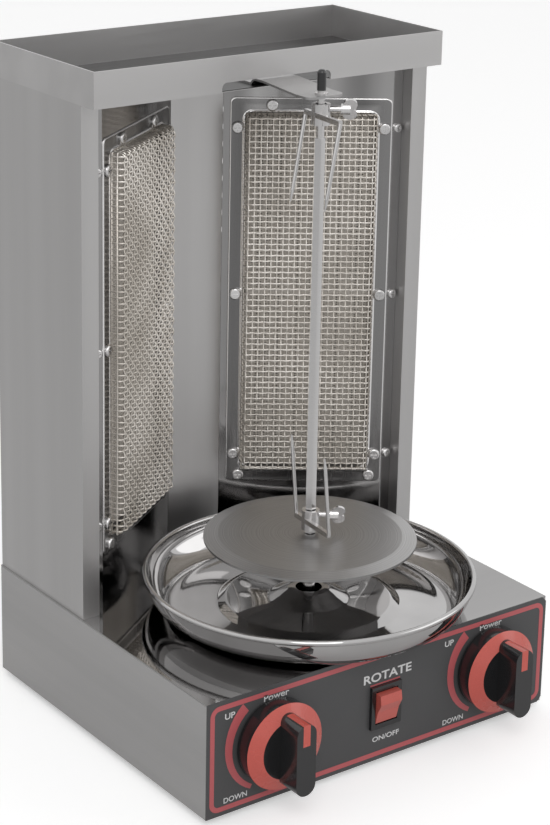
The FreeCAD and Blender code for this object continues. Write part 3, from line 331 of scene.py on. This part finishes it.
def tile_ceramic():
    """Pale ceramic with rows of fine flame holes, each hole painted near-black as the shade inside it."""
    material, nodes, links, shader = new_material("burner_ceramic")
    place = nodes.new("ShaderNodeTexCoord")
    holes = nodes.new("ShaderNodeTexVoronoi")
    holes.inputs["Scale"].default_value = 540
    holes.inputs["Randomness"].default_value = 0.15
    links.new(place.outputs["Object"], holes.inputs["Vector"])
    # The flame holes are painted near-black, the shade inside them.
    ring = between(nodes, links, holes.outputs["Distance"], 0, 1, 0.20, 0.32)
    links.new(tint(nodes, links, ring, (0.05, 0.045, 0.04), (0.62, 0.58, 0.53)), shader.inputs["Base Color"])
    shader.inputs["Roughness"].default_value = 0.85
    bump(nodes, links, shader, ring, 0.5, 0.0005)
    return material


def shade_inside(material, name, share):
    """Darkens a steel inside the box of one piece, a little within its walls and above its floor, as painted shade.
    """
    nodes, links = material.node_tree.nodes, material.node_tree.links
    low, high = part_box(name)
    shader = nodes["Principled BSDF"]
    place = nodes.new("ShaderNodeTexCoord")
    apart = nodes.new("ShaderNodeSeparateXYZ")
    links.new(place.outputs["Object"], apart.inputs["Vector"])
    bounds = (("X", low.x + 1.1 * MM, high.x - 1.1 * MM), ("Y", low.y + 1.1 * MM, high.y - 1.1 * MM),
              ("Z", low.z + 0.5 * MM, high.z - 3.2 * MM))
    mask = None
    for axis, start, end in bounds:
        for value, operation in ((start, "GREATER_THAN"), (end, "LESS_THAN")):
            test = nodes.new("ShaderNodeMath")
            test.operation = operation
            test.inputs[1].default_value = value
            links.new(apart.outputs[axis], test.inputs[0])
            if mask is None:
                mask = test.outputs["Value"]
            else:
                both = nodes.new("ShaderNodeMath")
                both.operation = "MULTIPLY"
                links.new(mask, both.inputs[0])
                links.new(test.outputs["Value"], both.inputs[1])
                mask = both.outputs["Value"]
    colour = shader.inputs["Base Color"].links[0].from_socket
    mix = nodes.new("ShaderNodeMix")
    mix.data_type = "RGBA"
    mix.inputs["B"].default_value = (*grey(share), 1)
    links.new(mask, mix.inputs["Factor"])
    links.new(colour, mix.inputs["A"])
    links.new(mix.outputs["Result"], shader.inputs["Base Color"])


# The tray's inside is painted near-black as shade.
shade_inside(TRAY, "top_tray", 0.05)
CERAMIC_BLANK = plastic("plain_ceramic", (0.72, 0.68, 0.63), 0.85, 0.2)
DISC = brushed_disc()
CERAMIC = tile_ceramic()

FINISHES = {
    PANEL: "left_side_panel right_side_panel back_panel centre_panel top_cover",
    TRAY: "top_tray",
    ARM: "spit_arm",
    WRAP: "base_wrap",
    POLISHED_PAINTED_REFLECTION: "left_burner_plate right_burner_plate",
    FRAME_PAINTED_DARK_REFLECTION: "left_burner_frame right_burner_frame",
    DECK: "deck_plate",
    CHROME: "drip_pan",
    BRIGHT: "arm_bush spit_shaft upper_fork lower_fork drive_coupling drive_shaft upper_wing_screw lower_wing_screw",
    WIRE: "left_mesh_cage right_mesh_cage",
    SCREW: "burner_screws chassis_screws spit_cross_pin gas_manifold left_feed_tube right_feed_tube",
    ZINC: "bottom_cover front_plate gear_motor motor_bracket left_burner_housing right_burner_housing "
          "left_mixing_tube right_mixing_tube",
    BRASS: "left_gas_valve right_gas_valve left_valve_stem right_valve_stem injectors gas_inlet shaft_bush",
    BLACK: "spit_cap left_knob right_knob switch_bezel switch_body cord_gland",
    NYLON: "terminal_block",
    RUBBER: "feet",
    RED: "left_knob_marker right_knob_marker",
    SWITCH_RED: "switch_rocker",
    OVERLAY: "control_overlay",
    DISC: "meat_disc",
    CERAMIC: "left_ceramic_tiles right_ceramic_tiles",
}
for material, words in FINISHES.items():
    for word in words.split():
        node = NODES[word]
        node.data.materials.clear()
        node.data.materials.append(material)

EDGES = {
    0.3 * MM: "left_side_panel right_side_panel top_tray base_wrap left_burner_plate right_burner_plate deck_plate "
              "centre_panel spit_arm left_burner_frame right_burner_frame",
    0.5 * MM: "left_knob right_knob switch_bezel switch_rocker upper_wing_screw lower_wing_screw",
}
for width, words in EDGES.items():
    for word in words.split():
        soften(NODES[word], width)


# ---------------------------------------------------------------- burner cages of woven wire
PLATE_OUTER = Vector((122.0, 37.6)) * MM
PLATE_INNER = Vector((22.5, 106.0)) * MM
FRAME_SHIFT = 2.5 * MM
CAGE_WIDTH, CAGE_HEIGHT, CAGE_REACH = 93.0 * MM, 269.0 * MM, 9.6 * MM
WIRE_RADIUS, WIRE_PITCH = 0.62 * MM, 4.2 * MM
PLATE_ANGLE = math.degrees(math.atan2(PLATE_INNER.y - PLATE_OUTER.y, PLATE_OUTER.x - PLATE_INNER.x))


def wire_run(half, crossings, first_side):
    """Turning points of one wire seen from its side: up from the plate, over and under, and down again."""
    shoulder = 2.2 * MM
    weave = 2 * WIRE_RADIUS
    step = 2 * (half - shoulder) / (crossings - 1)
    points = [(-half, 0), (-half, -CAGE_REACH * 0.45), (-half + 0.4 * MM, -CAGE_REACH * 0.85)]
    for index in range(crossings):
        side = first_side * (1 if index % 2 else -1)
        points.append((-half + shoulder + index * step, -CAGE_REACH + side * weave))
    points += [(half - 0.4 * MM, -CAGE_REACH * 0.85), (half, -CAGE_REACH * 0.45), (half, 0)]
    return points


def mesh_cage(label, sign):
    columns = int(CAGE_WIDTH / WIRE_PITCH)
    rows = int(CAGE_HEIGHT / WIRE_PITCH)
    columns -= columns % 2
    rows -= rows % 2
    parts = []
    for phase in (0, 1):
        side = 1 if phase else -1
        start = -(rows - 1) / 2 * WIRE_PITCH + phase * WIRE_PITCH
        across = [(x, y, start) for x, y in wire_run(CAGE_WIDTH / 2, columns, side)]
        parts.append(repeat(wire("across", across, WIRE_RADIUS), rows // 2, (0, 0, 2 * WIRE_PITCH)))
        start = -(columns - 1) / 2 * WIRE_PITCH + phase * WIRE_PITCH
        upright = [(start, y, z) for z, y in wire_run(CAGE_HEIGHT / 2, rows, side)]
        parts.append(repeat(wire("upright", upright, WIRE_RADIUS), columns // 2, (2 * WIRE_PITCH, 0, 0)))
    for level in (0.15, 0.55):
        hoop = [(-1, -1), (0, -1), (1, -1), (1, 0), (1, 1), (0, 1), (-1, 1), (-1, 0), (-1, -1)]
        points = []
        for x, z in hoop:
            points.append((x * CAGE_WIDTH / 2, -CAGE_REACH * level, z * CAGE_HEIGHT / 2))
        parts.append(straight_hoop(points))
    cage = join(label + "_woven_cage", *parts)
    middle = (PLATE_OUTER + PLATE_INNER) / 2
    low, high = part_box(label + "_burner_frame")
    turn = -sign * PLATE_ANGLE
    shift = Matrix.Rotation(math.radians(turn), 2) @ Vector((sign * FRAME_SHIFT, -0.6 * MM))
    set_down(cage, (sign * middle.x + shift.x, middle.y + shift.y, (low.z + high.z) / 2), (0, 0, turn))
    smooth(cage, 60)
    finish_piece(cage, WIRE, "chassis", label + "_mesh_cage")


def straight_hoop(points):
    """A wire bent square round the cage's side."""
    let_go()
    bpy.ops.curve.primitive_nurbs_path_add()
    item = named("hoop")
    spline = item.data.splines[0]
    spline.type = "POLY"
    spline.points.add(len(points) - len(spline.points))
    for point, spot in zip(spline.points, points):
        point.co = (*spot, 1)
    item.data.bevel_depth = WIRE_RADIUS
    item.data.bevel_resolution = 1
    take(item)
    bpy.ops.object.convert(target="MESH")
    return named("hoop")


for label, sign in SIDES:
    mesh_cage(label, sign)


# ---------------------------------------------------------------- burner frames, pressed with two rolled edges
def round_corners(width, height, corner, steps=7):
    """Points round a rectangle with round corners."""
    points = []
    for start, sign_x, sign_y in ((0, 1, 1), (90, -1, 1), (180, -1, -1), (270, 1, -1)):
        for step in range(steps + 1):
            angle = math.radians(start + 90 * step / steps)
            points.append((sign_x * (width / 2 - corner) + corner * math.cos(angle),
                           sign_y * (height / 2 - corner) + corner * math.sin(angle)))
    return points


def ringed_sheet(name, rings):
    """A closed ring: a loop of points pushed out again and again, each time drawn to the next ring."""
    let_go()
    bpy.ops.mesh.primitive_circle_add(vertices=len(rings[0]), radius=1)
    item = named(name)
    for vertex, spot in zip(item.data.vertices, rings[0]):
        vertex.co = spot
    bpy.ops.object.mode_set(mode="EDIT")
    bpy.ops.mesh.select_all(action="SELECT")
    for ring, following in zip(rings, rings[1:] + rings[:1]):
        bpy.ops.mesh.extrude_edges_move(TRANSFORM_OT_translate={"value": (0, 0, 0)})
        bpy.ops.object.mode_set(mode="OBJECT")
        order = {tuple(round(c * 1e5) for c in spot): index for index, spot in enumerate(ring)}
        for vertex in item.data.vertices:
            if vertex.select:
                vertex.co = following[order[tuple(round(c * 1e5) for c in vertex.co)]]
        bpy.ops.object.mode_set(mode="EDIT")
    bpy.ops.mesh.select_all(action="SELECT")
    bpy.ops.mesh.remove_doubles(threshold=1e-6)
    bpy.ops.mesh.normals_make_consistent(inside=False)
    bpy.ops.object.mode_set(mode="OBJECT")
    return item


FRAME_WIDTH, FRAME_HEIGHT = 116.0 * MM, 292.0 * MM
FRAME_PROFILE = ((0, 4, 0), (0, 4, 0.5), (0.3, 4, 0.95), (0.9, 4, 1.2), (1.7, 4.2, 1.12), (8.9, 7.2, 1.12), (9.3, 7.6, 1.4),
                 (9.9, 8.2, 1.65), (10.5, 8.7, 1.45), (10.9, 9, 0.9), (11, 9, 0), (9.8, 8, 0))


def burner_frame(label, sign):
    rings = []
    for inset, corner, height in FRAME_PROFILE:
        outline = round_corners(FRAME_WIDTH - 2 * inset * MM, FRAME_HEIGHT - 2 * inset * MM, corner * MM)
        rings.append([(x, y, height * MM) for x, y in outline])
    item = ringed_sheet(label + "_pressed_frame", rings)
    take(item)
    # Flat faces take the dark steel, painted dark reflection; the rolled and sloped faces take the near-white steel,
    # a painted highlight line.
    item.data.materials.append(FRAME_PAINTED_DARK_REFLECTION)
    item.data.materials.append(FRAME_PAINTED_HIGHLIGHT)
    for face in item.data.polygons:
        face.material_index = 0 if abs(face.normal.z) > 0.97 else 1
    low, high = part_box(label + "_burner_frame")
    middle = (PLATE_OUTER + PLATE_INNER) / 2
    turn = -sign * PLATE_ANGLE
    shift = Matrix.Rotation(math.radians(turn), 2) @ Vector((sign * FRAME_SHIFT, 0))
    set_down(item, turn=(90, 0, 0))
    set_down(item, (sign * middle.x + shift.x, middle.y + shift.y, (low.z + high.z) / 2), (0, 0, turn))
    smooth(item, 30)
    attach(item, "chassis")
    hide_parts(label + "_burner_frame")

    seam = plate(label + "_tile_seam", 90 * MM, 3.6 * MM, 2 * MM, 0.8 * MM)
    shift = Matrix.Rotation(math.radians(turn), 2) @ Vector((sign * FRAME_SHIFT, 4.6 * MM))
    set_down(seam, (sign * middle.x + shift.x, middle.y + shift.y, (low.z + high.z) / 2), (0, 0, turn))
    soften(seam, 0.3 * MM)
    finish_piece(seam, CERAMIC_BLANK, "chassis")


for label, sign in SIDES:
    burner_frame(label, sign)


# ---------------------------------------------------------------- drip pan, one spun sheet with a rolled rim
def drip_pan():
    low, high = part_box("drip_pan")
    t = 0.8 * MM
    bead = 2.0 * MM
    rim = high.x - low.x
    outer = rim / 2 - bead
    top = high.z - low.z - bead
    foot = 91 * MM
    inside = [(9.2 * MM, 12 * MM), (13.6 * MM, 12 * MM), (15.0 * MM, 11.5 * MM), (21.5 * MM, 8.1 * MM),
              (27 * MM, 5.1 * MM), (29.5 * MM, 4.5 * MM), (56.5 * MM, 4.5 * MM), (58.5 * MM, 4.2 * MM),
              (62.8 * MM, 1.2 * MM), (65 * MM, t), (foot - 2 * MM, t)]
    wall = []
    for step in range(13):
        angle = math.radians(step * 7.5)
        wall.append((foot + (outer - foot - t) * math.sin(angle), t + (top - t) * (1 - math.cos(angle))))
    roll = arc((outer, top), bead, 155, -160, 14)
    under = [(outer, top * 0.93)]
    for step in range(1, 12):
        angle = math.radians(90 - step * 7.5)
        under.append((foot + (outer - foot) * math.sin(angle), top * (1 - math.cos(angle))))
    under += [(foot - 2 * MM, 0), (65.4 * MM, 0), (62.6 * MM, 0.5 * MM), (58 * MM, 3.5 * MM), (56 * MM, 3.7 * MM),
              (29.5 * MM, 3.7 * MM), (14.5 * MM, 11.0 * MM), (9.2 * MM, 11.1 * MM), (9.2 * MM, 12 * MM)]
    pan = turned("spun_drip_pan", inside + wall + roll + under, 160)
    set_down(pan, ((low.x + high.x) / 2, (low.y + high.y) / 2, low.z))
    smooth(pan, 50)
    finish_piece(pan, CHROME, "pan", "drip_pan")


drip_pan()


# ---------------------------------------------------------------- printing on the control panel
panel_low, panel_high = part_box("control_overlay")
PANEL_FACE = panel_low.y
PRINT = 0.12 * MM


def print_piece(item, material, name):
    item.name = name
    finish_piece(item, material, "chassis")


def border():
    """A rounded red line round the panel, a plate with its middle inset away."""
    width = 285 * MM
    height = panel_high.z - panel_low.z - 6 * MM
    line = 3.4 * MM
    let_go()
    bpy.ops.mesh.primitive_plane_add(size=1)
    item = named("panel_border")
    item.scale = (width, height, 1)
    bpy.ops.object.transform_apply(scale=True)
    bpy.ops.object.mode_set(mode="EDIT")
    bpy.ops.mesh.select_all(action="SELECT")
    bpy.ops.mesh.bevel(offset=7 * MM, segments=8, affect="VERTICES")
    bpy.ops.mesh.select_mode(type="FACE")
    bpy.ops.mesh.select_all(action="SELECT")
    bpy.ops.mesh.inset(thickness=line, use_even_offset=True)
    bpy.ops.mesh.delete(type="FACE")
    bpy.ops.mesh.select_all(action="SELECT")
    bpy.ops.mesh.extrude_region_move(TRANSFORM_OT_translate={"value": (0, 0, PRINT)})
    bpy.ops.mesh.select_all(action="SELECT")
    bpy.ops.mesh.normals_make_consistent(inside=False)
    bpy.ops.object.mode_set(mode="OBJECT")
    set_down(item, (0, PANEL_FACE + 0.02 * MM, (panel_low.z + panel_high.z) / 2), (90, 0, 0))
    print_piece(item, RED_PRINT, "panel_border")


def words(text, x, z, height, width, bold=0.12 * MM):
    """A printed word, its middle at (x, z) on the panel."""
    let_go()
    bpy.ops.object.text_add()
    item = bpy.context.object
    item.data.body = text
    item.data.align_x = "CENTER"
    item.data.align_y = "CENTER"
    item.data.size = 10 * MM
    item.data.offset = bold
    item.data.extrude = PRINT / 2
    bpy.ops.object.convert(target="MESH")
    item = bpy.context.object
    item.scale = (width / item.dimensions.x, height / item.dimensions.y, 1)
    bpy.ops.object.transform_apply(scale=True)
    set_down(item, (x, PANEL_FACE + PRINT / 2 - 0.1 * MM, z), (90, 0, 0))
    print_piece(item, WHITE_PRINT, "word_" + "".join(c for c in text if c.isalpha()).lower()
                + ("_left" if x < -40 * MM else "_right" if x > 40 * MM else ""))


def crescent(label, sign):
    """A wedge round the left of a knob that grows from nothing at the foot to its widest at the top."""
    low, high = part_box(label + "_knob")
    centre = Vector(((low.x + high.x) / 2, 0, (low.z + high.z) / 2))
    inner = 32.2 * MM
    let_go()
    bpy.ops.mesh.primitive_circle_add(vertices=48, radius=inner)
    item = named(label + "_flame_scale")
    bpy.ops.object.mode_set(mode="EDIT")
    bpy.ops.mesh.select_mode(type="VERT")
    bpy.ops.mesh.select_all(action="DESELECT")
    bpy.ops.object.mode_set(mode="OBJECT")
    first, last = math.radians(126), math.radians(246)
    for vertex in item.data.vertices:
        angle = math.atan2(vertex.co.y, vertex.co.x) % (2 * math.pi)
        vertex.select = not first - 0.01 <= angle <= last + 0.01
    bpy.ops.object.mode_set(mode="EDIT")
    bpy.ops.mesh.delete(type="VERT")
    bpy.ops.mesh.select_all(action="SELECT")
    bpy.ops.mesh.extrude_edges_move(TRANSFORM_OT_translate={"value": (0, 0, 0)})
    bpy.ops.object.mode_set(mode="OBJECT")
    for vertex in item.data.vertices:
        if vertex.select:
            angle = math.atan2(vertex.co.y, vertex.co.x) % (2 * math.pi)
            share = (last - angle) / (last - first)
            vertex.co *= 1 + (3.0 + 4.6 * share) * MM / inner
    bpy.ops.object.mode_set(mode="EDIT")
    bpy.ops.mesh.select_all(action="SELECT")
    bpy.ops.mesh.extrude_region_move(TRANSFORM_OT_translate={"value": (0, 0, PRINT)})
    bpy.ops.mesh.select_all(action="SELECT")
    bpy.ops.mesh.normals_make_consistent(inside=False)
    bpy.ops.object.mode_set(mode="OBJECT")
    set_down(item, (centre.x, PANEL_FACE + 0.02 * MM, centre.z), (90, 0, 0))
    print_piece(item, RED_PRINT, label + "_flame_scale")


border()
BASE = panel_low.z
words("ROTATE", 1.8 * MM, BASE + 61.5 * MM, 6.4 * MM, 41 * MM, 0.2 * MM)
words("ON/OFF", 2 * MM, BASE + 15.6 * MM, 3.6 * MM, 23 * MM)
words("Power", -91 * MM, BASE + 72.9 * MM, 4.6 * MM, 20 * MM)
words("Power", 93 * MM, BASE + 72.9 * MM, 4.6 * MM, 20 * MM)
words("UP", -127.4 * MM, BASE + 69 * MM, 4.2 * MM, 7.8 * MM)
words("UP", 55.6 * MM, BASE + 69 * MM, 4.2 * MM, 7.8 * MM)
words("DOWN", -122.2 * MM, BASE + 9.6 * MM, 3.8 * MM, 18.4 * MM)
words("DOWN", 62 * MM, BASE + 9.6 * MM, 3.8 * MM, 18.4 * MM)
for label, sign in SIDES:
    crescent(label, sign)


def bezel_line():
    """A thin red line on the panel along the top of the switch."""
    low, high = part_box("switch_bezel")
    line = plate("bezel_line", high.x - low.x, 1.1 * MM, PRINT, 0.3 * MM)
    set_down(line, ((low.x + high.x) / 2, PANEL_FACE + 0.02 * MM, high.z + 0.9 * MM))
    print_piece(line, RED_PRINT, "bezel_line")


bezel_line()


# ---------------------------------------------------------------- floor, light and camera
let_go()
bpy.ops.mesh.primitive_plane_add(size=30)
floor = named("floor")
ground, ground_nodes, ground_links, ground_shader = new_material("pale_floor")
ground_shader.inputs["Base Color"].default_value = (0.86, 0.86, 0.86, 1)
ground_shader.inputs["Roughness"].default_value = 0.9
ray = ground_nodes.new("ShaderNodeLightPath")
lift = ground_nodes.new("ShaderNodeMath")
lift.operation = "MULTIPLY"
lift.inputs[1].default_value = 0.42
ground_shader.inputs["Emission Color"].default_value = (1, 1, 1, 1)
ground_links.new(ray.outputs["Is Camera Ray"], lift.inputs[0])
ground_links.new(lift.outputs["Value"], ground_shader.inputs["Emission Strength"])
floor.data.materials.append(ground)

world = bpy.data.worlds.new("studio")
bpy.context.scene.world = world
world.use_nodes = True
sky = world.node_tree
sky_light = sky.nodes["Background"]
rays = sky.nodes.new("ShaderNodeLightPath")
seen = sky.nodes.new("ShaderNodeMath")
seen.operation = "ADD"
seen.use_clamp = True
through = sky.nodes.new("ShaderNodeMath")
through.operation = "ADD"
level = sky.nodes.new("ShaderNodeMapRange")
level.inputs["To Min"].default_value = 0.55
level.inputs["To Max"].default_value = 1.0
sky.links.new(rays.outputs["Is Camera Ray"], seen.inputs[0])
sky.links.new(rays.outputs["Is Glossy Ray"], through.inputs[0])
sky.links.new(rays.outputs["Is Transmission Ray"], through.inputs[1])
sky.links.new(through.outputs["Value"], seen.inputs[1])
sky.links.new(seen.outputs["Value"], level.inputs["Value"])
sky.links.new(level.outputs["Result"], sky_light.inputs["Strength"])
sky_light.inputs["Color"].default_value = (1, 1, 1, 1)


def lamp(name, spot, size, power):
    """A soft square lamp that faces the middle of the object."""
    let_go()
    bpy.ops.object.light_add(type="AREA", location=spot)
    light = bpy.context.object
    light.name = name
    light.data.size = size
    light.data.energy = power
    aim = Vector((0, 0, 0.24)) - Vector(spot)
    light.rotation_mode = "QUATERNION"
    light.rotation_quaternion = aim.to_track_quat("-Z", "Y")


lamp("key", (-0.9, -1.6, 1.9), 1.2, 14)
lamp("fill", (1.8, -1.2, 1.2), 1.6, 8)

CAMERA_SPOT = Vector((-0.86402, -1.14687, 0.74273))
CAMERA_TURN, CAMERA_TILT, CAMERA_ROLL = 36.731, 15.963, 1.164
let_go()
bpy.ops.object.camera_add(location=CAMERA_SPOT)
camera = bpy.context.object
camera.rotation_mode = "QUATERNION"
turn, tilt = math.radians(CAMERA_TURN), math.radians(CAMERA_TILT)
ahead = Vector((math.sin(turn) * math.cos(tilt), math.cos(turn) * math.cos(tilt), -math.sin(tilt)))
camera.rotation_quaternion = ahead.to_track_quat("-Z", "Y") @ Matrix.Rotation(
    math.radians(CAMERA_ROLL), 3, "Z").to_quaternion()
camera.data.lens = 96.2
camera.data.shift_y = -0.197
camera.data.clip_end = 50
bpy.context.scene.camera = camera
bpy.context.scene.view_settings.view_transform = "Standard"
